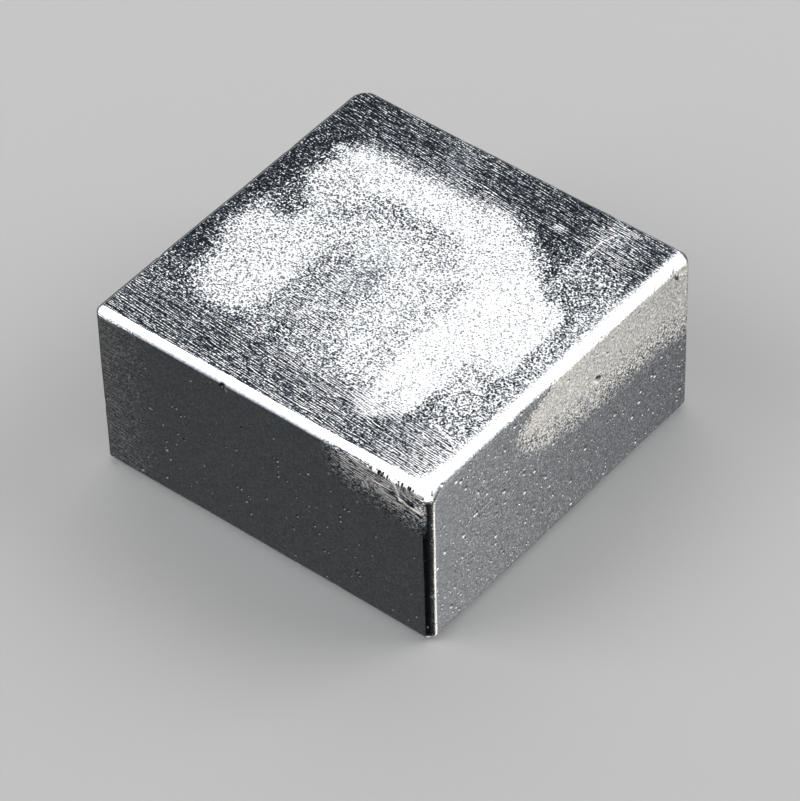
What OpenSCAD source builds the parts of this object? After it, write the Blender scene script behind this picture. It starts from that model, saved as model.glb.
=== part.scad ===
// Plated block magnet. A square block is cut and ground from sintered magnet
// alloy, tumbled until its edges and corners are broken, and then plated with
// nickel, copper and nickel. Each plated layer follows the one below it face
// for face, so every layer here is the same block drawn at two depths.
// The origin is the middle of the lower pole face, and +Z runs from the lower
// pole face to the upper one, which is also the direction of magnetisation.

/* [Finished block] */
// Side of the square pole faces, measured over the plating
block_side = 50; // [20:1:100]
// Thickness from pole face to pole face, measured over the plating
block_thickness = 25; // [10:1:50]

/* [Broken edges] */
// Width that the bevel around a pole face takes off each of its two faces
pole_edge_bevel = 0.9; // [0.6:0.1:2]
// Width that the bevel on an upright edge takes off each of its two faces
side_edge_bevel = 0.8; // [0.4:0.1:1.2]
// Depth worn off each corner beyond the point where its three bevels meet
corner_wear = 0.16; // [0.06:0.02:0.3]

/* [Plating] */
// Thickness of the first nickel layer, on the magnet alloy
nickel_strike_thickness = 0.005; // [0.003:0.001:0.01]
// Thickness of the copper layer between the two nickel layers
copper_thickness = 0.008; // [0.004:0.001:0.015]
// Thickness of the bright nickel layer on the outside
nickel_topcoat_thickness = 0.007; // [0.004:0.001:0.015]

/* [Hidden] */
// Depth of each layer's outer face below the finished surface
copper_depth = nickel_topcoat_thickness;
strike_depth = copper_depth + copper_thickness;
core_depth = strike_depth + nickel_strike_thickness;

// How far the plane of a worn corner lies below the sharp corner of the block
corner_depth = (pole_edge_bevel + side_edge_bevel / 2) / sqrt(3) + corner_wear;
// Turn that brings +Z onto the diagonal of a corner
corner_turn = [0, atan(sqrt(2)), 45];
// Side of the block that cuts a corner off, larger than any corner
corner_cutter = 8;

// Bevel width at a depth below the finished surface. The bevel's own plane
// moves in by that depth as well, so it narrows less than the faces do.
function bevel_at(bevel, depth) = bevel - depth * (2 - sqrt(2));

// Corner depth, below the sharp corner of the block drawn at that depth
function corner_at(depth) = corner_depth - depth * (sqrt(3) - 1);

// Rectangle with its four corners cut off at 45 degrees
function bevelled_rectangle(width, height, bevel) = [
    [width / 2 - bevel, -height / 2],
    [width / 2, -height / 2 + bevel],
    [width / 2, height / 2 - bevel],
    [width / 2 - bevel, height / 2],
    [-width / 2 + bevel, height / 2],
    [-width / 2, height / 2 - bevel],
    [-width / 2, -height / 2 + bevel],
    [-width / 2 + bevel, -height / 2]
];

// Bar of that section, running along Z and centred
module bevelled_bar(width, height, bevel, length)
    linear_extrude(height = length, center = true)
        polygon(bevelled_rectangle(width, height, bevel));

// The tool that wears one corner down: a face square to the corner's diagonal
module corner_cut(side, thickness, depth)
    translate([side / 2, side / 2, thickness / 2])
        rotate(corner_turn)
            translate([-corner_cutter / 2, -corner_cutter / 2, -depth])
                cube(corner_cutter);

// The whole block with its outside at a depth below the finished surface
module block_at(depth) {
    side = block_side - 2 * depth;
    thickness = block_thickness - 2 * depth;
    upright = bevel_at(side_edge_bevel, depth);
    around_pole = bevel_at(pole_edge_bevel, depth);
    translate([0, 0, block_thickness / 2])
        difference() {
            intersection() {
                bevelled_bar(side, side, upright, thickness);
                rotate([90, 0, 0])
                    bevelled_bar(side, thickness, around_pole, side);
                rotate([90, 0, 90])
                    bevelled_bar(side, thickness, around_pole, side);
            }
            for (over_x = [0, 1], over_y = [0, 1], over_z = [0, 1])
                mirror([over_x, 0, 0])
                    mirror([0, over_y, 0])
                        mirror([0, 0, over_z])
                            corner_cut(side, thickness, corner_at(depth));
        }
}

// A layer of even thickness all over the block, between two depths
module layer(outer_depth, inner_depth)
    difference() {
        block_at(outer_depth);
        block_at(inner_depth);
    }

// Ground and tumbled block of sintered neodymium-iron-boron
module sintered_core()
    color("#3b3a39")
        block_at(core_depth);

// First nickel layer, which seals the alloy from the copper bath
module nickel_strike()
    color("#a9a08c")
        layer(strike_depth, core_depth);

// Copper layer, which levels the surface and keeps water out
module copper_layer()
    color("#b87046")
        layer(copper_depth, strike_depth);

// Bright nickel layer that is seen and handled
module nickel_topcoat()
    color("#b9bdc3")
        layer(0, copper_depth);

sintered_core();
nickel_strike();
copper_layer();
nickel_topcoat();
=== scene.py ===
"""Nickel-plated block magnet on a pale floor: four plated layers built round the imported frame."""

import math

import bmesh
import bpy
import numpy as np
from mathutils import Matrix, Vector


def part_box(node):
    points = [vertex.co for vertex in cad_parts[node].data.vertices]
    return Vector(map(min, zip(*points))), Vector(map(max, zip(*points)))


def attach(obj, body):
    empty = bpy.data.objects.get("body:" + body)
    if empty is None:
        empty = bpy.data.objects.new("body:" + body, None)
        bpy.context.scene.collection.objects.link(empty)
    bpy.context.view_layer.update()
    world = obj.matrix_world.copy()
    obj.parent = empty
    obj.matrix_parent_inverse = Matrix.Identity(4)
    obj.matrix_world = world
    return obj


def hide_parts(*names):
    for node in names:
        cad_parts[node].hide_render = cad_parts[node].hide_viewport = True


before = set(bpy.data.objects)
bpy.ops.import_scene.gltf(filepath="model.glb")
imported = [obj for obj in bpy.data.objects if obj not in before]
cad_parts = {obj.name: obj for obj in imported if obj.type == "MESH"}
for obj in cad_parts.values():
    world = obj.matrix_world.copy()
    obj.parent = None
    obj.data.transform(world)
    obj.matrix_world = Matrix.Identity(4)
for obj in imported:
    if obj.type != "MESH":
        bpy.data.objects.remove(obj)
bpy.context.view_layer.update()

MM = 0.001

# The block, from the frame
LOW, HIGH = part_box("nickel_topcoat")
HALF_SIDE = (HIGH.x - LOW.x) / 2
THICKNESS = HIGH.z - LOW.z
MIDDLE = Vector((0, 0, THICKNESS / 2))

# Depth of each plated layer's outer face below the finished surface
COPPER_DEPTH = HIGH.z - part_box("copper_layer")[1].z
STRIKE_DEPTH = HIGH.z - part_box("nickel_strike")[1].z
CORE_DEPTH = HIGH.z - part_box("sintered_core")[1].z

# Camera
CAMERA_AZIMUTH = math.radians(39.9)
CAMERA_ELEVATION = math.radians(44.6)
CAMERA_ROLL = math.radians(-1.65)
CAMERA_DISTANCE = 22.15 * HALF_SIDE
LOOK_RIGHT, LOOK_UP = 0.0135 * HALF_SIDE, -0.212 * HALF_SIDE
LENS_MM = 209.7

FLOOR_REACH = 3.0
FLOOR_GREY = 0.60

# Brightness of the room: as it lights the scene, below the horizon, and above it behind and over the camera
ROOM_LIGHT = 0.42
ROOM_BELOW = 0.40
ROOM_BEHIND, ROOM_OVER_CAMERA = 0.40, 1.8


# ---------------------------------------------------------------- stage

def direction(azimuth, elevation):
    """Unit vector away from the block; azimuth 0 is the front, 90 the right"""
    return Vector((math.sin(azimuth) * math.cos(elevation),
                   -math.cos(azimuth) * math.cos(elevation),
                   math.sin(elevation)))


def place_camera():
    back = direction(CAMERA_AZIMUTH, CAMERA_ELEVATION)
    level_right = Vector((math.cos(CAMERA_AZIMUTH), math.sin(CAMERA_AZIMUTH), 0))
    level_up = back.cross(level_right)
    right = math.cos(CAMERA_ROLL) * level_right + math.sin(CAMERA_ROLL) * level_up
    up = math.cos(CAMERA_ROLL) * level_up - math.sin(CAMERA_ROLL) * level_right
    look_at = MIDDLE + LOOK_RIGHT * level_right + LOOK_UP * level_up
    data = bpy.data.cameras.new("camera")
    data.lens = LENS_MM
    data.clip_start = 10 * MM
    camera = bpy.data.objects.new("camera", data)
    turn = Matrix((right, up, back)).transposed().to_4x4()
    camera.matrix_world = Matrix.Translation(look_at + CAMERA_DISTANCE * back) @ turn
    bpy.context.scene.collection.objects.link(camera)
    bpy.context.scene.camera = camera


def softbox(name, azimuth, elevation, distance, side, glow):
    """Soft square lamp that faces the block; glow is the brightness of its face"""
    data = bpy.data.lights.new(name, "AREA")
    data.shape = "RECTANGLE"
    data.size, data.size_y = side, side
    data.energy = glow * math.pi * side * side
    lamp = bpy.data.objects.new(name, data)
    toward = direction(math.radians(azimuth), math.radians(elevation))
    lamp.matrix_world = (Matrix.Translation(MIDDLE + distance * toward)
                         @ toward.to_track_quat("Z", "Y").to_matrix().to_4x4())
    bpy.context.scene.collection.objects.link(lamp)


def make_floor():
    bm = bmesh.new()
    bmesh.ops.create_grid(bm, x_segments=1, y_segments=1, size=FLOOR_REACH)
    mesh = bpy.data.meshes.new("floor")
    bm.to_mesh(mesh)
    bm.free()
    floor = bpy.data.objects.new("floor", mesh)
    bpy.context.scene.collection.objects.link(floor)
    floor.data.materials.append(pale_floor())
    # The block's upright faces mirror the dark room and not the floor they stand on
    floor.visible_glossy = False


def light_room():
    """Softboxes, and a room that is pale above, dark below on the camera's side and dim all round"""
    world = bpy.data.worlds.new("studio")
    world.use_nodes = True
    tree = world.node_tree
    tree.nodes.clear()
    where = add(tree, "ShaderNodeTexCoord").outputs["Generated"]

    def toward(x, y, z):
        return add(tree, "ShaderNodeVectorMath", {0: where, 1: (x, y, z)},
                   operation="DOT_PRODUCT").outputs["Value"]

    # From 0 behind the block to 1 on the camera's side, and from 0 on the left of that line to 1 on its right
    to_camera = ramp(tree, toward(0.766, -0.643, 0), -1, 1)
    to_right = ramp(tree, toward(0.643, 0.766, 0), -0.3, 0.3)
    front_sees = stops(tree, to_camera, [(0.0, 0.03), (0.20, 0.03), (0.35, 0.25), (0.66, 0.25), (0.76, 0.02)])
    right_sees = stops(tree, to_camera, [(0.0, 0.03), (0.20, 0.03), (0.35, 0.52), (0.53, 0.56),
                                         (0.60, 2.20), (0.66, 2.20), (0.72, 0.02)])
    steep = ramp(tree, toward(0, 0, 1), -0.5, -0.1)
    above_horizon = ramp(tree, toward(0, 0, 1), -0.08, 0.0)
    glow = blend_value(tree, steep, blend_value(tree, to_right, front_sees, right_sees), ROOM_BELOW)
    glow = blend_value(tree, above_horizon, glow,
                       ramp(tree, to_camera, 0.28, 0.50, ROOM_BEHIND, ROOM_OVER_CAMERA))
    lights = add(tree, "ShaderNodeBackground", {"Color": (0.8, 0.8, 0.8, 1), "Strength": ROOM_LIGHT})
    mirrored = add(tree, "ShaderNodeBackground", {"Color": (1, 1, 1, 1), "Strength": glow})
    path = add(tree, "ShaderNodeLightPath")
    both = add(tree, "ShaderNodeMixShader",
               {0: path.outputs["Is Glossy Ray"], 1: lights.outputs[0], 2: mirrored.outputs[0]})
    add(tree, "ShaderNodeOutputWorld", {"Surface": both.outputs[0]})
    bpy.context.scene.world = world
    softbox("left_softbox", azimuth=-40, elevation=40, distance=0.7, side=0.5, glow=2.4)
    softbox("right_softbox", azimuth=138, elevation=38, distance=0.7, side=0.5, glow=2.4)
    softbox("top_softbox", azimuth=220, elevation=46, distance=0.8, side=0.75, glow=0.92)


# ---------------------------------------------------------------- node helpers

def new_material(name):
    material = bpy.data.materials.new(name)
    material.use_nodes = True
    material.node_tree.nodes.clear()
    return material, material.node_tree


def add(tree, kind, inputs=None, **settings):
    """A node with its settings, and with its inputs set or linked by name or number"""
    node = tree.nodes.new(kind)
    for name, value in settings.items():
        setattr(node, name, value)
    for key, value in (inputs or {}).items():
        if isinstance(value, bpy.types.NodeSocket):
            tree.links.new(value, node.inputs[key])
        else:
            node.inputs[key].default_value = value
    return node


def maths(tree, operation, a, b=0.0, clamp=False):
    return add(tree, "ShaderNodeMath", {0: a, 1: b}, operation=operation, use_clamp=clamp).outputs[0]


def plus(tree, a, b):
    return maths(tree, "ADD", a, b)


def minus(tree, a, b):
    return maths(tree, "SUBTRACT", a, b)


def times(tree, a, b):
    return maths(tree, "MULTIPLY", a, b)


def attribute(tree, name):
    return add(tree, "ShaderNodeAttribute", attribute_name=name).outputs["Fac"]


def stretched(tree, place, size):
    """Place counted in grains of that size, three lengths in metres along X, Y and Z"""
    return add(tree, "ShaderNodeMapping", {"Vector": place, "Scale": [1 / s for s in size]}).outputs[0]


def cloud(tree, place, size, detail=2.0, roughness=0.5):
    """Noise whose grains are size long"""
    noise = add(tree, "ShaderNodeTexNoise", {"Vector": stretched(tree, place, size), "Scale": 1.0,
                                             "Detail": detail, "Roughness": roughness})
    return noise.outputs["Fac"]


def voronoi(tree, place):
    """Scattered cells, one to each unit of place"""
    return add(tree, "ShaderNodeTexVoronoi", {"Vector": place, "Scale": 1.0, "Randomness": 1.0})


def ramp(tree, value, low, high, out_low=0.0, out_high=1.0):
    return add(tree, "ShaderNodeMapRange",
               {"Value": value, "From Min": low, "From Max": high,
                "To Min": out_low, "To Max": out_high}, clamp=True).outputs[0]


def colour_ramp(tree, value, colours):
    """Colour that follows value through a list of (place, (red, green, blue))"""
    node = add(tree, "ShaderNodeValToRGB", {0: value})
    elements = node.color_ramp.elements
    while len(elements) < len(colours):
        elements.new(1.0)
    for element, (place, colour) in zip(elements, colours):
        element.position = place
        element.color = (*colour, 1)
    return node.outputs[0]


def stops(tree, value, levels):
    """Grey that follows value through a list of (place, level)"""
    return colour_ramp(tree, value, [(place, (level, level, level)) for place, level in levels])


def blend_colour(tree, factor, a, b, way="MIX"):
    return add(tree, "ShaderNodeMix", {0: factor, 6: a, 7: b}, data_type="RGBA", blend_type=way).outputs[2]


def blend_value(tree, factor, a, b):
    return add(tree, "ShaderNodeMix", {0: factor, 2: a, 3: b}, data_type="FLOAT").outputs[0]


def even(tree, value, middle, spread):
    """Noise about 0 with a spread of 1, from noise about middle"""
    return maths(tree, "DIVIDE", minus(tree, value, middle), spread)


# ---------------------------------------------------------------- finishes

def pale_floor():
    material, tree = new_material("pale_floor")
    shader = add(tree, "ShaderNodeBsdfPrincipled",
                 {"Base Color": (FLOOR_GREY, FLOOR_GREY, FLOOR_GREY, 1), "Roughness": 0.9})
    add(tree, "ShaderNodeOutputMaterial", {"Surface": shader.outputs[0]})
    return material


# Metal from the darkest crevice with its painted shade, 0, to full frosting with the painted glare, 1
NICKEL_TONES = [
    (0.0, (0.006, 0.008, 0.012)),
    (0.2, (0.026, 0.034, 0.044)),
    (0.4, (0.118, 0.136, 0.160)),
    (0.6, (0.290, 0.316, 0.346)),
    (0.8, (0.590, 0.612, 0.632)),
    (1.0, (0.965, 0.968, 0.972)),
]
# Tint of the upright faces, stronger in the painted beige reflection on the right face
WARM_AND_PAINTED_REFLECTION_TINT = (1.0, 0.90, 0.78, 1)
PLAIN_TINT = (1, 1, 1, 1)

# Size of the grain's facets, of the teeth along the torn edge, and of the cloudiness of a pole face
SPECKLE_SIZE = (0.25 * MM, 0.20 * MM, 0.20 * MM)
TOOTH_SIZE = (0.32 * MM, 0.5 * MM, 1.6 * MM)
MOTTLE_SIZE = (1.6 * MM, 1.1 * MM, 1.1 * MM)
GRAIN_DEPTH = 0.49
MOTTLE_DEPTH = 0.035

# A facet's own shade and the groove round it: the usual values, their spreads, and the groove's share
SHADE_SPREAD = 0.22
GROOVE_MIDDLE, GROOVE_SPREAD, GROOVE_GAIN = 0.48, 0.16, 1.3
GROOVE_SHARE = 0.55

# Grinding lines: period and closeness of the wander of each set, how far they wander along and across
# themselves, how many radians they drift, their skew, and the share of plain speckle among them
GRINDING_SETS = ((0.33 * MM, 1.0), (0.24 * MM, 0.7))
WANDER_ALONG, WANDER_ACROSS = 4.2 * MM, 1.0 * MM
GRINDING_DRIFT = 18.0
GRINDING_SKEW = math.radians(3.5)
SPECKLE_AMONG_LINES = 0.32

# Handling scratches, and the painted highlights and shade on the marks, shake over a noise of this size, by
# this much. They are full strength over a share of their width.
SHAKE_SIZE, SHAKE_REACH = 0.9 * MM, 0.5 * MM
SCRATCH_CORE = 0.3

# Pits: spacing of the two sets, radius as a share of that, the side where highlight is painted, and how
# much painted highlight and shade
PIT_SPACING, DOT_SPACING = 1.1 * MM, 0.62 * MM
PIT_RADII = (0.12, 0.36)
PAINTED_LIT_SIDE = (0.4, -0.5, -0.8)
PAINTED_GLINT_SWING, PAINTED_GLINT_LEVEL, PAINTED_GLINT_STRENGTH = 3.4, 0.30, 0.8

GRAIN_HEIGHT, PIT_DEPTH = 0.01 * MM, 0.05 * MM

# Handling scratches, and the painted highlights and shade on the nick, blister, notches, crater and chipped
# end: start, end, width, strength, which is below 0 for a dark one; mm, from the middle of the lower pole
# face
SCRATCHES_AND_PAINTED_LIGHT = [
    # Upper pole face
    ((15.4, 8.0, 25), (15.1, 14.0, 25), 0.18, 0.30),
    ((15.1, 14.0, 25), (15.4, 19.5, 25), 0.22, 0.38),
    ((15.4, 19.5, 25), (16.4, 22.8, 25), 0.24, 0.34),
    ((17.9, -15.7, 25), (21.0, -16.5, 25), 0.26, 0.60),
    ((21.0, -16.5, 25), (24.2, -16.9, 25), 0.18, 0.50),
    ((19.6, 20.5, 25), (21.4, 15.0, 25), 0.12, 0.16),
    # Nick in the top edge of the front face: painted shade and a painted highlight on its two sides
    ((-5.3, -25, 23.9), (-5.1, -25, 23.5), 0.28, -0.5),
    ((-4.8, -25, 23.6), (-4.6, -25, 23.3), 0.22, 0.45),
    # Rim of the blister, and the lumps on it: painted highlights, and painted shade between and under the
    # lumps
    ((20.0, -25, 23.8), (20.9, -25, 21.6), 0.26, 0.85),
    ((20.9, -25, 21.5), (22.8, -25, 21.1), 0.26, 0.95),
    ((22.8, -25, 21.1), (24.2, -25, 21.2), 0.32, 1.10),
    ((21.1, -25, 22.0), (22.8, -25, 21.6), 0.38, -0.95),
    ((23.3, -25, 21.7), (23.5, -25, 21.6), 0.28, 0.80),
    ((23.9, -25, 21.9), (24.2, -25, 21.7), 0.30, 0.80),
    ((20.6, -25, 21.2), (23.8, -25, 20.6), 0.32, -0.55),
    # Notches at the front corner: painted shade in them
    ((23.8, -24.5, 24.1), (24.0, -24.6, 23.3), 0.22, -0.75),
    ((24.5, -23.5, 24.1), (24.6, -23.8, 23.6), 0.20, -0.6),
    # Crater in the right face: painted highlights on its rim and painted shade inside
    ((25, 6.0, 19.1), (25, 6.9, 19.3), 0.30, 0.55),
    ((25, 5.9, 18.4), (25, 6.5, 17.9), 0.28, 0.50),
    ((25, 6.3, 19.0), (25, 6.9, 18.4), 0.32, -0.90),
    # Chipped end of the right top edge: painted shade in the chip and a painted highlight beside it
    ((25, 21.6, 23.5), (25, 22.0, 22.9), 0.24, -0.60),
    ((25, 22.0, 22.9), (25, 22.4, 23.4), 0.20, -0.60),
    ((25, 22.6, 23.1), (25, 23.1, 22.8), 0.22, 0.40),
]


def own_numbers(tree, cells):
    """Three random numbers for each cell that don't depend on where in the cell its middle is"""
    noise = add(tree, "ShaderNodeTexWhiteNoise", {"Vector": cells.outputs["Color"]}, noise_dimensions="3D")
    return add(tree, "ShaderNodeSeparateColor", {0: noise.outputs["Color"]}).outputs


def facets(tree, place, size):
    """Little facets and the grooves between them, size along X, Y and Z, about 0 with a spread of 1"""
    cells = voronoi(tree, stretched(tree, place, size))
    shade = even(tree, own_numbers(tree, cells)[0], 0.5, SHADE_SPREAD)
    rise = even(tree, cells.outputs["Distance"], GROOVE_MIDDLE, GROOVE_SPREAD)
    return blend_value(tree, GROOVE_SHARE, shade, times(tree, rise, GROOVE_GAIN))


def grinding_lines(tree, place, across, wander):
    """Two sets of fine lines, counted by across, that wander over a noise of that size; about 0, spread 1"""
    total = 0.0
    for period, closeness in GRINDING_SETS:
        drift = cloud(tree, place, [closeness * w for w in wander])
        drift = times(tree, minus(tree, drift, 0.5), GRINDING_DRIFT)
        turns = plus(tree, times(tree, across, 2 * math.pi / period), drift)
        total = plus(tree, total, maths(tree, "SINE", turns))
    return total


def both_grindings(tree, place, face_x):
    """Lines along X on most faces, and along Y where face_x is 1, on the two faces that look along X"""
    skewed = add(tree, "ShaderNodeMapping", {"Vector": place, "Rotation": (0, 0, GRINDING_SKEW)})
    turned = add(tree, "ShaderNodeSeparateXYZ", {0: skewed.outputs[0]})
    straight = add(tree, "ShaderNodeSeparateXYZ", {0: place})
    along_x = grinding_lines(tree, place, plus(tree, turned.outputs[1], turned.outputs[2]),
                             (WANDER_ALONG, WANDER_ACROSS, WANDER_ACROSS))
    along_y = grinding_lines(tree, place, plus(tree, straight.outputs[0], straight.outputs[2]),
                             (WANDER_ACROSS, WANDER_ALONG, WANDER_ACROSS))
    return blend_value(tree, face_x, along_x, along_y)


def scratch(tree, place, start, end, width):
    """1 on the line from start to end, 0 past width beside it; mm"""
    start, reach = Vector(start) * MM, (Vector(end) - Vector(start)) * MM
    offset = add(tree, "ShaderNodeVectorMath", {0: place, 1: start}, operation="SUBTRACT")
    along = add(tree, "ShaderNodeVectorMath", {0: offset.outputs[0], 1: reach}, operation="DOT_PRODUCT")
    share = maths(tree, "DIVIDE", along.outputs["Value"], reach.length_squared, clamp=True)
    nearest = add(tree, "ShaderNodeVectorMath", {0: reach, "Scale": share}, operation="SCALE")
    away = add(tree, "ShaderNodeVectorMath", {0: offset.outputs[0], 1: nearest.outputs[0]},
               operation="DISTANCE")
    return ramp(tree, away.outputs["Value"], SCRATCH_CORE * width * MM, width * MM, 1.0, 0.0)


def scratched_and_painted(tree, place, level):
    """Level with every scratch on it, and the painted highlights and shade of the marks, each a little shaky
    """
    noise = cloud(tree, place, [SHAKE_SIZE] * 3)
    shake = times(tree, minus(tree, noise, 0.5), SHAKE_REACH)
    shaken = add(tree, "ShaderNodeVectorMath", {0: place, 1: shake}, operation="ADD").outputs[0]
    for start, end, width, strength in SCRATCHES_AND_PAINTED_LIGHT:
        level = plus(tree, level, times(tree, scratch(tree, shaken, start, end, width), strength))
    return level


def pits(tree, place, spacing, share):
    """Craters about a spacing apart at a share of the places: height, 0 at the bottom, and painted highlight
    and shade
    """
    scaled = stretched(tree, place, [spacing] * 3)
    cells = voronoi(tree, scaled)
    chance, size = own_numbers(tree, cells)[:2]
    present = maths(tree, "LESS_THAN", chance, share)
    radius = ramp(tree, size, 0.0, 1.0, *PIT_RADII)
    bowl = maths(tree, "DIVIDE", cells.outputs["Distance"], radius, clamp=True)
    inside = times(tree, present, minus(tree, 1.0, bowl))
    offset = add(tree, "ShaderNodeVectorMath", {0: scaled, 1: cells.outputs["Position"]},
                 operation="SUBTRACT")
    side = add(tree, "ShaderNodeVectorMath", {0: offset.outputs[0], 1: PAINTED_LIT_SIDE}, operation="DOT_PRODUCT")
    # Painted highlight and shade across each pit, by the side it faces
    painted_lit = maths(tree, "DIVIDE", side.outputs["Value"], radius)
    painted_glint = plus(tree, times(tree, painted_lit, PAINTED_GLINT_SWING), PAINTED_GLINT_LEVEL)
    return minus(tree, 1.0, inside), times(tree, painted_glint, times(tree, inside, PAINTED_GLINT_STRENGTH))


def bright_nickel():
    """Outer plating: grain and grinding lines that go from dark polished metal to white frosting, with
    painted glare, highlights and shade in its tone
    """
    material, tree = new_material("bright_nickel")
    place = add(tree, "ShaderNodeTexCoord").outputs["Object"]

    speckle = facets(tree, place, SPECKLE_SIZE)
    lines = blend_value(tree, SPECKLE_AMONG_LINES, both_grindings(tree, place, attribute(tree, "across")),
                        speckle)
    texture = blend_value(tree, attribute(tree, "streaks"), speckle, lines)
    texture = blend_value(tree, attribute(tree, "teeth"), texture, facets(tree, place, TOOTH_SIZE))
    mottle = even(tree, cloud(tree, place, MOTTLE_SIZE, detail=3.0), 0.5, 0.115)

    grain = times(tree, attribute(tree, "grain"), GRAIN_DEPTH)
    level = plus(tree, attribute(tree, "tone"), times(tree, texture, grain))
    level = plus(tree, level, times(tree, mottle, times(tree, attribute(tree, "pole"), MOTTLE_DEPTH)))
    level = scratched_and_painted(tree, place, level)
    pitting = attribute(tree, "pitting")
    craters, painted_glint = pits(tree, place, PIT_SPACING, pitting)
    dots, painted_sparkle = pits(tree, place, DOT_SPACING, pitting)
    # Painted highlight on one side of each pit and painted shade on the other
    level = plus(tree, level, plus(tree, painted_glint, painted_sparkle))

    tint = blend_colour(tree, attribute(tree, "warmth_and_painted_reflection"), PLAIN_TINT, WARM_AND_PAINTED_REFLECTION_TINT)
    colour = blend_colour(tree, 1.0, colour_ramp(tree, level, NICKEL_TONES), tint, way="MULTIPLY")
    bump = add(tree, "ShaderNodeBump", {"Strength": 1.0, "Distance": GRAIN_HEIGHT,
                                        "Height": times(tree, texture, attribute(tree, "tooth"))})
    bump = add(tree, "ShaderNodeBump", {"Strength": 1.0, "Distance": PIT_DEPTH,
                                        "Height": times(tree, craters, dots), "Normal": bump.outputs[0]})
    shader = add(tree, "ShaderNodeBsdfPrincipled",
                 {"Base Color": colour, "Metallic": 1.0, "Roughness": attribute(tree, "haze"),
                  "Normal": bump.outputs[0]})
    add(tree, "ShaderNodeOutputMaterial", {"Surface": shader.outputs[0]})
    return material


def inner_metal(name, dark, light, rough_low, rough_high, nodule, tooth_height):
    """Metal of a covered layer: cloudy colour, nodules or grains of one size, and a fine tooth"""
    material, tree = new_material(name)
    place = add(tree, "ShaderNodeTexCoord").outputs["Object"]
    patches = cloud(tree, place, [5 * MM] * 3, detail=4.0, roughness=0.6)
    fine = cloud(tree, place, [0.3 * nodule] * 3, detail=3.0)
    cells = voronoi(tree, stretched(tree, place, [nodule] * 3))
    domes = minus(tree, 1.0, cells.outputs["Distance"])
    share = ramp(tree, plus(tree, times(tree, domes, 0.5), times(tree, patches, 0.5)), 0.3, 0.8)
    bump = add(tree, "ShaderNodeBump", {"Strength": 1.0, "Distance": tooth_height,
                                        "Height": plus(tree, domes, times(tree, fine, 0.6))})
    shader = add(tree, "ShaderNodeBsdfPrincipled",
                 {"Base Color": blend_colour(tree, share, dark, light), "Metallic": 1.0,
                  "Roughness": ramp(tree, fine, 0.3, 0.7, rough_low, rough_high),
                  "Normal": bump.outputs[0]})
    add(tree, "ShaderNodeOutputMaterial", {"Surface": shader.outputs[0]})
    return material


# ---------------------------------------------------------------- block shape

CELLS_ACROSS = 124
CELLS_UP = 66

# Where cells crowd together, at the edges and at the marks: centre, reach, how many times denser; mm
CROWDS_X = [(-25, 1.3, 9), (25, 1.3, 9), (-5.3, 0.8, 3), (22, 2.5, 1.5)]
CROWDS_Y = [(-25, 1.3, 9), (25, 1.3, 9), (6.3, 0.9, 3), (22, 1.2, 1.5)]
CROWDS_Z = [(-12.5, 1.3, 9), (12.5, 1.3, 9), (6.5, 0.8, 3), (10, 1.8, 1.5)]

# Widths that the bevels take off each face, before they wander; mm
UPRIGHT_BEVEL, FRONT_UPRIGHT_EXTRA = 0.78, 0.09
LONG_BEVEL, FRONT_TOP_EXTRA = 0.88, 0.12
SIDE_BEVEL, CHIPPED_END_EXTRA = 0.82, 0.25
UPRIGHT_WANDER, POLE_EDGE_WANDER = 0.08, 0.07

# Distance from the sharp corner, over all three axes, at which each corner is worn off; mm
WORN_CORNER = 1.62
LEFT_BACK_CORNER, FRONT_CORNER, RIGHT_BACK_CORNER = 2.6, 3.0, 2.0

# The top rolls off towards its right edge, from this far to the right, at this slope
ROLL_FROM = 23.2 * MM
ROLL_SLOPE = math.radians(4)

# How softly the bevels meet, and how much more softly near the front corner; mm
SOFT_EDGE, SOFT_FRONT_CORNER, FRONT_CORNER_REACH = 0.07, 0.16, 2.4
TUMBLING_ROUNDS = 6

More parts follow.
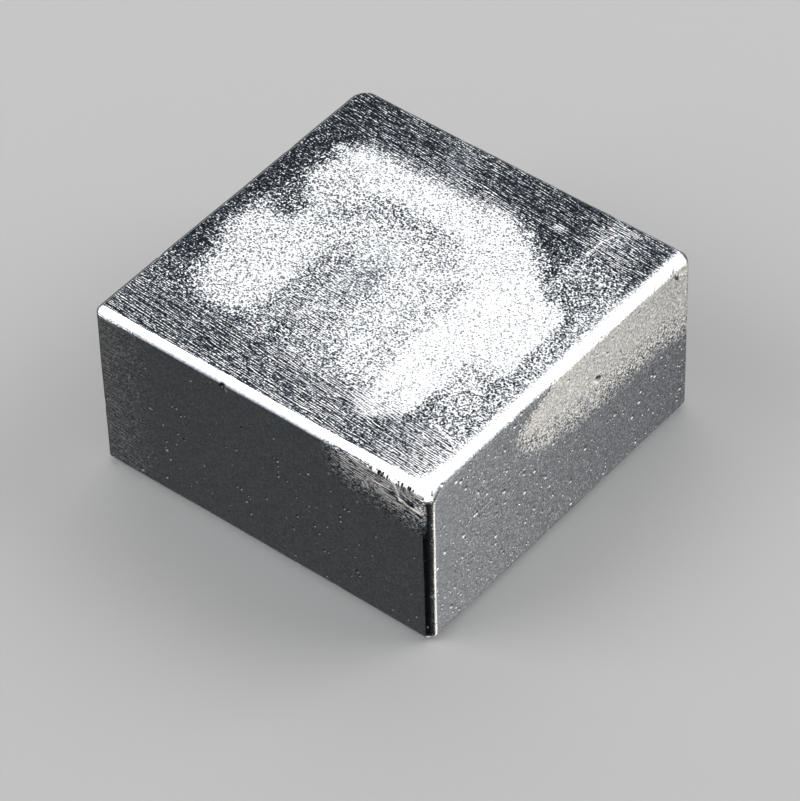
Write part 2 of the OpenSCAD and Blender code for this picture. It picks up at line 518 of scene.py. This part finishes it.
# Marks that go into the surface: middle, size, push; mm, from the middle of the lower pole face
MARKS = [
    # Nick in the top edge of the front face
    ((-5.2, -24.9, 23.8), (0.22, 0.5, 0.32), (0.0, 0.30, -0.08)),
    ((-4.7, -25.0, 23.3), (0.30, 0.4, 0.14), (0.0, 0.10, 0.0)),
    # Crater in the right face
    ((25.0, 6.6, 18.8), (0.5, 0.40, 0.32), (-0.22, 0.0, 0.0)),
    ((25.0, 5.8, 18.4), (0.5, 0.30, 0.25), (-0.11, 0.0, 0.0)),
    # Chipped end of the right top edge
    ((24.8, 21.8, 24.0), (0.6, 0.35, 0.45), (-0.30, 0.0, -0.10)),
    ((25.0, 22.5, 23.3), (0.5, 0.45, 0.30), (-0.22, 0.0, 0.0)),
    ((25.0, 23.3, 23.0), (0.5, 0.35, 0.22), (-0.14, 0.0, 0.0)),
    # Blistered plating under the front corner: the skin round it sits lower than its lumps
    ((22.6, -25.0, 22.6), (2.2, 0.8, 1.3), (0.0, 0.11, 0.0)),
    # Notches at the top of the front upright edge
    ((23.9, -24.8, 23.7), (0.14, 0.5, 0.40), (-0.04, 0.12, -0.05)),
    ((24.6, -23.4, 24.1), (0.45, 0.16, 0.25), (-0.10, 0.0, -0.06)),
    # Small knocks along the edges
    ((-16.0, -24.8, 24.7), (0.5, 0.5, 0.4), (0.0, 0.09, -0.09)),
    ((8.0, -24.8, 24.6), (0.6, 0.5, 0.4), (0.0, 0.08, -0.08)),
    ((24.8, -9.0, 24.7), (0.5, 0.6, 0.4), (-0.08, 0.0, -0.08)),
    ((24.8, 13.0, 24.6), (0.5, 0.5, 0.4), (-0.09, 0.0, -0.07)),
    ((-24.8, 11.0, 24.7), (0.5, 0.6, 0.5), (0.12, 0.0, -0.12)),
    ((-24.8, -13.0, 24.6), (0.5, 0.4, 0.5), (0.15, 0.0, -0.10)),
    ((-9.0, 24.8, 24.7), (0.6, 0.5, 0.5), (0.0, -0.13, -0.10)),
    ((14.0, 24.8, 24.6), (0.4, 0.5, 0.5), (0.0, -0.15, -0.10)),
    ((-24.8, -24.7, 9.0), (0.5, 0.5, 0.7), (0.10, 0.10, 0.0)),
    ((24.8, 24.7, 14.0), (0.5, 0.5, 0.6), (-0.10, -0.10, 0.0)),
    ((-24.8, 24.7, 6.0), (0.5, 0.5, 0.6), (0.12, -0.10, 0.0)),
    ((11.0, -24.9, 0.4), (0.5, 0.5, 0.4), (0.0, 0.10, 0.08)),
    ((24.9, -3.0, 0.4), (0.5, 0.5, 0.4), (-0.10, 0.0, 0.08)),
]

# Lumps of the blister, on the front face: across, up, size; mm
LUMPS = [
    (20.5, 23.3, 0.40), (21.2, 22.2, 0.35), (21.7, 21.5, 0.30), (22.4, 21.2, 0.32), (23.0, 21.3, 0.30),
    (23.6, 21.5, 0.34), (24.1, 21.9, 0.30), (23.2, 22.1, 0.30), (22.2, 22.6, 0.36), (23.9, 22.8, 0.34),
]
LUMP_HEIGHT = 0.13

# Pitted places: across, up, spread, number; mm along the face from its middle, or up from the bottom
FRONT_PITS = [
    (-12.6, 15, 0.9, 4), (-3.4, 8.2, 0.7, 3), (-2.2, 6.8, 0.6, 2), (0.6, 9.1, 0.3, 1), (5.6, 9.2, 0.3, 1),
    (7.8, 9.5, 0.3, 1), (9.3, 6.2, 0.3, 1), (11.9, 12.6, 0.8, 3), (13.2, 8.2, 0.3, 1), (14.3, 5.5, 0.3, 1),
    (3.0, 15.3, 1.6, 4), (7.0, 16.5, 1.5, 3), (12.6, 14.8, 0.3, 1), (17.7, 13.6, 0.3, 1),
    (0, 12, 14, 12), (-15, 11, 3.0, 4),
]
RIGHT_PITS = [
    (-21, 20.4, 0.5, 2), (-12.8, 17.6, 0.9, 5), (-16, 15.7, 0.6, 3), (-10, 15.3, 0.4, 2),
    (-8, 14.3, 0.4, 2), (-6.2, 12.6, 0.7, 4), (-4.2, 14.0, 0.3, 1), (3.8, 10.1, 0.3, 1),
    (4.4, 9.2, 0.3, 1), (-20.2, 8.2, 0.4, 2), (-9, 9.8, 0.5, 2), (-1.6, 1.9, 0.5, 3),
    (-15, 12.5, 2.5, 7), (-6, 12, 14, 90), (14, 10, 8, 50),
]
REAR_PITS = [(0, 12, 14, 45), (-9, 15, 3.0, 8), (12, 9, 3.0, 8)]
POLE_PITS = [(13, 2, 3.5, 9), (0, 0, 14, 16), (-15, -4, 5, 6)]

# Each face's outward direction, the axes that run across and up it, and its pits
PITTED_FACES = [
    ((0, -1, 0), (0, 2), FRONT_PITS), ((1, 0, 0), (1, 2), RIGHT_PITS),
    ((0, 1, 0), (0, 2), REAR_PITS), ((-1, 0, 0), (1, 2), REAR_PITS),
    ((0, 0, 1), (0, 1), POLE_PITS), ((0, 0, -1), (0, 1), POLE_PITS),
]
SMALLEST_PITTED_CELL = 0.3 * MM


def lines_across(half, cells, crowds):
    """Where the cell lines lie between -half and half, closer together at the crowds; mm"""
    fine = np.linspace(-half, half, 4001)
    density = np.ones_like(fine)
    for centre, reach, denser in crowds:
        density += denser * np.exp(-((fine - centre) / reach) ** 2)
    total = np.cumsum(density)
    total = (total - total[0]) / (total[-1] - total[0])
    return np.interp(np.linspace(0, 1, cells + 1), total, fine)


def sawn_block():
    """Sharp block about the origin, its faces divided into cells"""
    bm = bmesh.new()
    bmesh.ops.create_cube(bm, size=2.0)
    upright = [e for e in bm.edges if abs(e.verts[0].co.z - e.verts[1].co.z) > 1]
    bmesh.ops.subdivide_edges(bm, edges=upright, cuts=CELLS_UP - 1, use_grid_fill=True)
    level = [e for e in bm.edges if abs(e.verts[0].co.z - e.verts[1].co.z) < 1e-6]
    bmesh.ops.subdivide_edges(bm, edges=level, cuts=CELLS_ACROSS - 1, use_grid_fill=True)
    places = [lines_across(HALF_SIDE / MM, CELLS_ACROSS, CROWDS_X),
              lines_across(HALF_SIDE / MM, CELLS_ACROSS, CROWDS_Y),
              lines_across(THICKNESS / 2 / MM, CELLS_UP, CROWDS_Z)]
    for vert in bm.verts:
        for axis, lines in enumerate(places):
            vert.co[axis] = lines[round((vert.co[axis] + 1) / 2 * (len(lines) - 1))] * MM
    return bm


def wave(t, seed):
    """Slow smooth wander between about -1 and 1"""
    return (np.sin(3.1 * t + 1.7 * seed) + 0.6 * np.sin(7.3 * t + 4.1 * seed)
            + 0.35 * np.sin(17.0 * t + 2.3 * seed)) / 1.95


def step(value, low, high):
    """Smooth rise from 0 at low to 1 at high"""
    s = np.clip((value - low) / (high - low), 0, 1)
    return s * s * (3 - 2 * s)


def bevel_widths(x, y, z):
    """Width of the upright, the long top and bottom, and the side bevels beside each point"""
    sx, sy, sz = np.sign(x), np.sign(y), np.sign(z)
    along_x, along_y, along_z = x / HALF_SIDE, y / HALF_SIDE, z / HALF_SIDE
    front_upright, front_top = (sx > 0) * (sy < 0), (sy < 0) & (sz > 0)
    upright = UPRIGHT_BEVEL + FRONT_UPRIGHT_EXTRA * front_upright
    upright += UPRIGHT_WANDER * wave(along_z, 1 + sx + 2 * sy)
    long = LONG_BEVEL + FRONT_TOP_EXTRA * front_top
    long += POLE_EDGE_WANDER * wave(along_x, 5 + sy + 3 * sz)
    torn = step(x, 16 * MM, 20 * MM) * front_top
    long += torn * (0.12 + 0.10 * wave(x / MM * 0.55, 3))
    side = SIDE_BEVEL + POLE_EDGE_WANDER * wave(along_y, 9 + sx + 3 * sz)
    side += CHIPPED_END_EXTRA * step(y, 17 * MM, 25 * MM) * ((sx > 0) & (sz > 0))
    return upright * MM, long * MM, side * MM


def corner_wear(x, y, z):
    """How far from its sharp corner the corner nearest to each point is worn off"""
    wear = np.full_like(x, WORN_CORNER)
    wear[(x < 0) & (y > 0) & (z > 0)] = LEFT_BACK_CORNER
    wear[(x > 0) & (y < 0) & (z > 0)] = FRONT_CORNER
    wear[(x > 0) & (y > 0) & (z > 0)] = RIGHT_BACK_CORNER
    return wear * MM


def tumbled(points):
    """Pulls the points of the sharp block in to its broken edges and worn corners"""
    a, c = HALF_SIDE, THICKNESS / 2
    p = points.copy()
    for _ in range(TUMBLING_ROUNDS):
        x, y, z = p.T
        sx, sy, sz = np.sign(x), np.sign(y), np.sign(z)
        flat = 0 * x
        upright, long, side = bevel_widths(x, y, z)
        slope_down = (x - ROLL_FROM) * math.sin(ROLL_SLOPE) + (z - c) * math.cos(ROLL_SLOPE)
        rolled = np.where((sx > 0) & (sz > 0), slope_down, -1)
        planes = [
            (np.abs(x) - a, np.stack([sx, flat, flat], 1)),
            (np.abs(y) - a, np.stack([flat, sy, flat], 1)),
            (np.abs(z) - c, np.stack([flat, flat, sz], 1)),
            ((np.abs(x) + np.abs(y) - 2 * a + upright) / math.sqrt(2),
             np.stack([sx, sy, flat], 1) / math.sqrt(2)),
            ((np.abs(y) + np.abs(z) - a - c + long) / math.sqrt(2),
             np.stack([flat, sy, sz], 1) / math.sqrt(2)),
            ((np.abs(x) + np.abs(z) - a - c + side) / math.sqrt(2),
             np.stack([sx, flat, sz], 1) / math.sqrt(2)),
            ((np.abs(x) + np.abs(y) + np.abs(z) - 2 * a - c + corner_wear(x, y, z)) / math.sqrt(3),
             np.stack([sx, sy, sz], 1) / math.sqrt(3)),
            (rolled, np.stack([flat + math.sin(ROLL_SLOPE), flat, flat + math.cos(ROLL_SLOPE)], 1)),
        ]
        from_front_corner = np.sqrt((x - a) ** 2 + (y + a) ** 2 + (z - c) ** 2) / MM
        near_front_corner = np.exp(-(from_front_corner / FRONT_CORNER_REACH) ** 2)
        softness = (SOFT_EDGE + SOFT_FRONT_CORNER * near_front_corner) * MM
        values = np.stack([v for v, _ in planes])
        weights = np.exp((values - values.max(0)) / softness)
        total = weights.sum(0)
        field = values.max(0) + softness * np.log(total)
        slope = sum((w / total)[:, None] * n for w, (_, n) in zip(weights, planes))
        move = field / np.maximum((slope ** 2).sum(1), 0.3)
        p -= slope * np.maximum(move, 0)[:, None]
    return p


def marked(points):
    """Presses the marks into the surface and lets the lumps of the blister stand back up"""
    p = points / MM
    p[:, 2] += THICKNESS / 2 / MM
    front = step(-p[:, 1], 24.2, 24.6)
    for middle, size, push in MARKS:
        reach = (((p - middle) / size) ** 2).sum(1)
        p += np.exp(-reach)[:, None] * np.array(push)
    for across, up, size in LUMPS:
        reach = ((p[:, 0] - across) ** 2 + (p[:, 2] - up) ** 2) / size ** 2
        p[:, 1] -= LUMP_HEIGHT * np.exp(-reach) * front
    p[:, 1] = np.maximum(p[:, 1], -HALF_SIDE / MM)
    return p * MM


def press_pits(bm):
    """Little craters, each sunk into one cell of a face"""
    draw = np.random.default_rng(7)
    faces = list(bm.faces)
    centres = np.array([f.calc_center_median() for f in faces]) / MM
    normals = np.array([f.normal for f in faces])
    chosen = set()
    for outward, axes, places in PITTED_FACES:
        on_side = np.flatnonzero(normals @ np.array(outward) > 0.999)
        for middle_across, middle_up, spread, number in places:
            for _ in range(number):
                spot = np.array([middle_across, middle_up]) + spread * draw.uniform(-1, 1, 2)
                away = np.abs(centres[on_side][:, list(axes)] - spot).sum(1)
                chosen.add(int(on_side[away.argmin()]))
    pit_faces = []
    for index in sorted(chosen):
        face = faces[index]
        size = min(e.calc_length() for e in face.edges)
        if size < SMALLEST_PITTED_CELL:
            continue
        width = 0.55 * draw.uniform(0.5, 0.9)
        for inset, depth in ((0.5 * (1 - width) * size, 0), (0.10 * size, -0.075 * size)):
            made = bmesh.ops.inset_individual(bm, faces=[face], thickness=inset, depth=depth,
                                              use_even_offset=True)
        pit_faces += [face] + list(made["faces"])
    return pit_faces


# ---------------------------------------------------------------- finish maps

# Frosting of the upper pole face with the softbox glare painted into it, laid one stroke over another:
# start, end, radius, softness, tone; mm from the middle, tone from 0, dark and polished, to 1, white
FROSTING_AND_PAINTED_GLARE = [
    ((4, 22), (11, 19), 1.5, 4.0, 0.31),
    ((17, 21), (20, 11), 2.0, 4.0, 0.56),
    ((-7, 22), (-6, 19), 1.0, 2.5, 0.57),
    ((-11, -2), (9, -2), 9.0, 4.0, 0.80),
    ((-1, -15), (7, -16), 1.5, 3.0, 0.70),
    ((-15.5, 13.2), (3, 13.4), 1.6, 4.0, 0.94),
    ((3, 13.2), (9, 10), 2.0, 4.0, 0.93),
    ((-17, 9), (-14, 9), 1.5, 3.0, 0.86),
    ((-15, 9), (-15.5, -1), 1.2, 2.8, 0.82),
    ((-15.5, -3), (-14, -11), 3.5, 3.5, 0.88),
    ((-19.5, 4), (-18, 2.5), 0.8, 2.6, 0.40),
    ((-12, 5), (-10, 8), 0.8, 2.5, 0.72),
    ((-7.5, -1), (-7.5, -16), 1.3, 1.0, 0.66),
    ((-2.5, 0), (-3, -12), 1.0, 2.0, 0.72),
    ((2.5, 2), (2.5, -11), 1.2, 2.5, 0.86),
    ((6.5, -3), (6, -13), 1.5, 2.5, 0.84),
    ((8, 9), (12, 7), 2.0, 3.5, 0.94),
    ((12.7, 5), (12.6, -8), 3.4, 2.4, 0.985),
    ((17, 4.5), (17, -4), 2.6, 1.8, 0.98),
    ((17.5, -7), (18.2, -11), 1.0, 2.8, 0.78),
    ((12, -8), (12.2, -15), 2.6, 1.4, 0.985),
    ((11.4, -16.5), (11, -17.6), 1.4, 1.4, 0.96),
    ((22.2, 12), (22.2, -12), 0.5, 1.6, 0.70),
    ((9.9, 18.8), (10.3, 18.8), 0.3, 0.5, 0.95),
    ((7.6, 15.7), (8.0, 15.7), 0.3, 0.5, 1.0),
    ((-19.8, 14.3), (-19.5, 14.3), 0.3, 0.5, 1.0),
    ((15.6, 9), (15.6, 18), 0.2, 1.0, 0.62),
    ((16.0, 20), (17.8, 23), 0.5, 0.8, 0.66),
]

# Tones: the pole face before its frosting and painted glare, the lower pole face, the painted highlight on
# the rolled-off right edge, the painted highlight on the top bevels and front corner, a plain bevel
POLE_TONE, LOWER_POLE_TONE = 0.34, 0.60
PAINTED_ROLL_HIGHLIGHT, PAINTED_BEVEL_HIGHLIGHT, BEVEL_TONE = 1.06, 1.08, 0.62

# Brightness that strongly grained metal is meant to have, and the tone that gives it
SEEN_TONES = [0.0, 0.25, 0.33, 0.41, 0.50, 0.56, 0.65, 0.73, 0.80, 0.88, 0.92, 0.965, 1.0, 1.3]
SETTLED_TONES = [-0.28, -0.11, 0.01, 0.13, 0.25, 0.33, 0.47, 0.60, 0.71, 0.81, 0.88, 0.99, 1.14, 1.6]

# Lower and upper edge of the painted beige reflection on the right face, by place along it; mm
PAINTED_REFLECTION_LOWER_EDGE = ([-9.5, -4, 2, 12, 20, 25], [20.8, 17.9, 16.6, 16.4, 15.8, 14.0])
PAINTED_REFLECTION_UPPER_EDGE = ([-9.5, -2.5, 0], [20.6, 24.0, 26.0])


def stroke(points, start, end, radius, softness):
    """1 within radius of the line from start to end, and 0 past radius plus softness; all in mm"""
    start, end = np.array(start, float), np.array(end, float)
    reach = end - start
    t = np.clip(((points - start) @ reach) / max(reach @ reach, 1e-9), 0, 1)
    distance = np.linalg.norm(points - start - t[:, None] * reach, axis=1)
    return 1 - step(distance, radius, radius + softness)


def frosting_and_painted_glare(x, y):
    """Tone of the upper pole face before the edges roll off: its frosting, with the softbox glare painted in;
    mm
    """
    # Painted glare: lighter towards the front and the right, darker at the left and the back right
    front, right = step(-y, 10, 18), step(x, 14, 22) * step(-y, 4, 14)
    tone = POLE_TONE + 0.02 * step(y, 8, 16) + front * (0.12 + 0.09 * step(x, -12, 2)) + 0.22 * right
    left, back_right = step(-x, 15, 20) * (1 - step(-y, 7, 14)), step(x, 6, 16) * step(y, 12, 18)
    tone -= 0.12 * left + 0.15 * back_right
    points = np.stack([x, y], 1)
    for start, end, radius, softness, level in FROSTING_AND_PAINTED_GLARE:
        tone += (level - tone) * stroke(points, start, end, radius, softness)
    return tone


def pole_finish(x, y, z):
    """Tone, grain and streaks of the pole faces; the tone carries the painted glare and the painted edge
    highlight; mm
    """
    on_top = step(z, THICKNESS / MM - 0.75, THICKNESS / MM - 0.45)
    points = np.stack([x, y], 1)
    streaks = step(np.abs(y), 13.5, 18.5) * 0.9
    streaks = np.maximum(streaks, 0.6 * stroke(points, (-5, -6), (-3, -14), 2.5, 6.0))
    streaks = np.maximum(streaks, 0.45 * step(np.abs(x), 20, 23))

    tone = frosting_and_painted_glare(x, y)
    # Painted highlight along the rolled-off right edge of the upper pole face
    roll_start, roll_end = 22.9 - 2.4 * step(-y, 18, 25), 24.5 - 0.5 * step(-y, 20, 25)
    tone += (PAINTED_ROLL_HIGHLIGHT - tone) * step(x, roll_start, roll_end)
    tone = tone * on_top + LOWER_POLE_TONE * (1 - on_top)
    tone -= 0.09 * streaks * on_top

    grain = 1.0 - 0.55 * step(x, 22.8, 24.0) * on_top + 0.45 * streaks
    grain -= 0.22 * step(tone, 0.75, 0.92)
    grain -= 0.40 * stroke(points, (-4, 3), (-3, -3), 0.5, 3.5)
    grain -= 0.45 * stroke(points, (-7, 21.5), (-6.5, 20), 1.0, 1.5)
    return tone, grain, streaks


def finish_maps(piece):
    """Paints the plating's maps, point by point: tone, with its painted glare, highlights, reflection and
    shade, grain, haze and the rest
    """
    co = np.array([v.co for v in piece.data.vertices]) / MM
    x, y, z = co.T
    a, top_z = HALF_SIDE / MM, THICKNESS / MM
    right, left = step(x, a - 0.5, a - 0.2), step(-x, a - 0.5, a - 0.2)
    front, back = step(-y, a - 0.5, a - 0.2), step(y, a - 0.5, a - 0.2)
    rear = np.maximum(left, back)
    upright = np.clip(front + right + left + back, 0, 1)
    flat_top = step(z, top_z - 0.10, top_z - 0.02)

    # Places on the upright faces: the painted beige reflection, the torn and toothed top edge beside the
    # front corner, the brushed left end of the front, the scuffed edges behind, the painted highlight line
    # along the front upright bevel
    # Painted reflection: a beige band across the upper part of the right face
    lower_edge, upper_edge = np.interp(y, *PAINTED_REFLECTION_LOWER_EDGE), np.interp(y, *PAINTED_REFLECTION_UPPER_EDGE)
    painted_warm_reflection = step(z, lower_edge - 4.0, lower_edge + 2.6) * step(upper_edge - z, -0.9, 0.9)
    painted_warm_reflection *= step(y, -10, -6) * right
    torn = stroke(co[:, [0, 2]], (14, 23), (25, 21.8), 0.8, 4.6) * front
    teeth = step(x, 15.5, 18) * front * step(z, 23.4, 24.0)
    combed = step(-x, 15, 24) * front
    to_upright_edge = step(np.abs(np.where(back > 0.5, x, y)), 17, 24)
    scuffed = rear * np.clip(to_upright_edge + step(z, 17, 24), 0, 1)
    # Painted highlight: a thin line on the right face beside the front upright bevel
    painted_line_highlight = right * step(-y, 23.75, 23.95) * (1 - step(-y, 24.15, 24.35))
    fringe = np.clip(4 * painted_warm_reflection * (1 - painted_warm_reflection), 0, 1)

    # Painted shading: the right face darker towards its back end
    side_tone = 0.44 * front + (0.483 - 0.09 * y / a) * right + (0.50 + 0.06 * (x - y) / a) * rear
    # The painted beige reflection lifts the tone
    side_tone += 0.335 * painted_warm_reflection - 0.07 * torn + 0.25 * teeth + 0.05 * combed + 0.05 * scuffed
    side_tone += 0.35 * painted_line_highlight
    side_grain = 0.07 * front + 0.20 * right + (0.08 + 0.20 * scuffed) * rear
    side_grain += 0.62 * fringe + 0.04 * painted_warm_reflection + 1.4 * torn + 0.50 * combed + 0.30 * teeth
    side_streaks = np.maximum(np.maximum(torn, combed), 0.8 * rear)
    side_streaks += (0.15 + 0.6 * step(-y, 16, 23)) * right * (1 - painted_warm_reflection)
    side_haze = 0.17 + 0.09 * right + 0.16 * painted_warm_reflection + 0.52 * torn + 0.05 * rear
    side_tooth = 0.05 + 0.45 * right + 0.3 * torn + 0.2 * combed

    # The top bevels and the front corner get a painted white highlight, the other bevels stay plain
    worn_corner = step(x - y, 45.5, 46.5) * step(z, top_z - 2.2, top_z - 1.8)
    painted_bevel_highlight = np.maximum(step(z, top_z - 1.3, top_z - 0.9), worn_corner) * (1 - flat_top) * (1 - upright)

    tone, grain, streaks = pole_finish(x, y, z)
    tone = tone * flat_top + (1 - flat_top) * (side_tone + (1 - upright) * BEVEL_TONE)
    tone += (PAINTED_BEVEL_HIGHLIGHT - tone) * painted_bevel_highlight
    grain = grain * flat_top + (1 - flat_top) * (side_grain * (1 - painted_bevel_highlight) + 0.12 * painted_bevel_highlight)
    settled = np.interp(tone, SEEN_TONES, SETTLED_TONES)
    tone += (settled - tone) * np.clip(grain, 0, 1) * flat_top
    top_haze = 0.24 + 0.16 * np.clip(tone, 0, 1)

    maps = {
        "tone": tone,
        "grain": grain,
        "streaks": streaks * flat_top + (1 - flat_top) * side_streaks,
        "across": np.maximum(right, left),
        "pole": flat_top,
        "warmth_and_painted_reflection": np.clip(0.45 * upright + 0.10 * painted_warm_reflection - 0.2 * torn, 0, 1) * (1 - flat_top),
        "haze": top_haze * flat_top + (1 - flat_top) * side_haze,
        "tooth": 0.25 * flat_top + (1 - flat_top) * side_tooth,
        "teeth": teeth * (1 - flat_top),
        "pitting": (1 - flat_top) * upright * (0.08 + 0.37 * right),
    }
    for name, values in maps.items():
        layer = piece.data.attributes.new(name, "FLOAT", "POINT")
        layer.data.foreach_set("value", np.asarray(values, np.float32))


# ---------------------------------------------------------------- pieces

def make_piece(name, bm, material, node):
    mesh = bpy.data.meshes.new(name)
    bm.to_mesh(mesh)
    bm.free()
    mesh.materials.append(material)
    piece = bpy.data.objects.new(name, mesh)
    bpy.context.scene.collection.objects.link(piece)
    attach(piece, "root")
    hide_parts(node)
    return piece


def worn_block():
    """The block with its broken edges, marks and pits, at its finished size"""
    bm = sawn_block()
    points = marked(tumbled(np.array([v.co for v in bm.verts])))
    for vert, co in zip(bm.verts, points):
        vert.co = co
    bmesh.ops.recalc_face_normals(bm, faces=bm.faces)
    bm.normal_update()
    pit_faces = press_pits(bm)
    for face in bm.faces:
        face.smooth = True
    for face in pit_faces:
        face.smooth = False
    bm.normal_update()
    return bm


def plated_layers():
    """The four layers, each the same worn block at its own depth"""
    copper = inner_metal("satin_copper", dark=(0.48, 0.19, 0.10, 1), light=(0.83, 0.43, 0.27, 1),
                         rough_low=0.28, rough_high=0.48, nodule=0.12 * MM, tooth_height=0.006 * MM)
    strike = inner_metal("dull_nickel", dark=(0.30, 0.28, 0.24, 1), light=(0.56, 0.53, 0.46, 1),
                         rough_low=0.40, rough_high=0.62, nodule=0.10 * MM, tooth_height=0.006 * MM)
    alloy = inner_metal("sintered_alloy", dark=(0.045, 0.043, 0.042, 1), light=(0.20, 0.19, 0.18, 1),
                        rough_low=0.50, rough_high=0.78, nodule=0.16 * MM, tooth_height=0.02 * MM)
    layers = [
        ("bright_nickel_plating", "nickel_topcoat", "bright_nickel", 0.0, bright_nickel()),
        ("copper_plating", "copper_layer", "plated_copper", COPPER_DEPTH, copper),
        ("nickel_strike_plating", "nickel_strike", "dull_nickel", STRIKE_DEPTH, strike),
        ("sintered_magnet_core", "sintered_core", "sintered_alloy", CORE_DEPTH, alloy),
    ]
    block = worn_block()
    for name, node, slot, depth, material in layers:
        skin = block.copy()
        for vert in skin.verts:
            vert.co -= depth * vert.normal
        piece = make_piece(name, skin, material, node)
        if depth == 0.0:
            finish_maps(piece)
    block.free()


place_camera()
plated_layers()
make_floor()
light_room()
bpy.context.scene.view_settings.view_transform = "Standard"
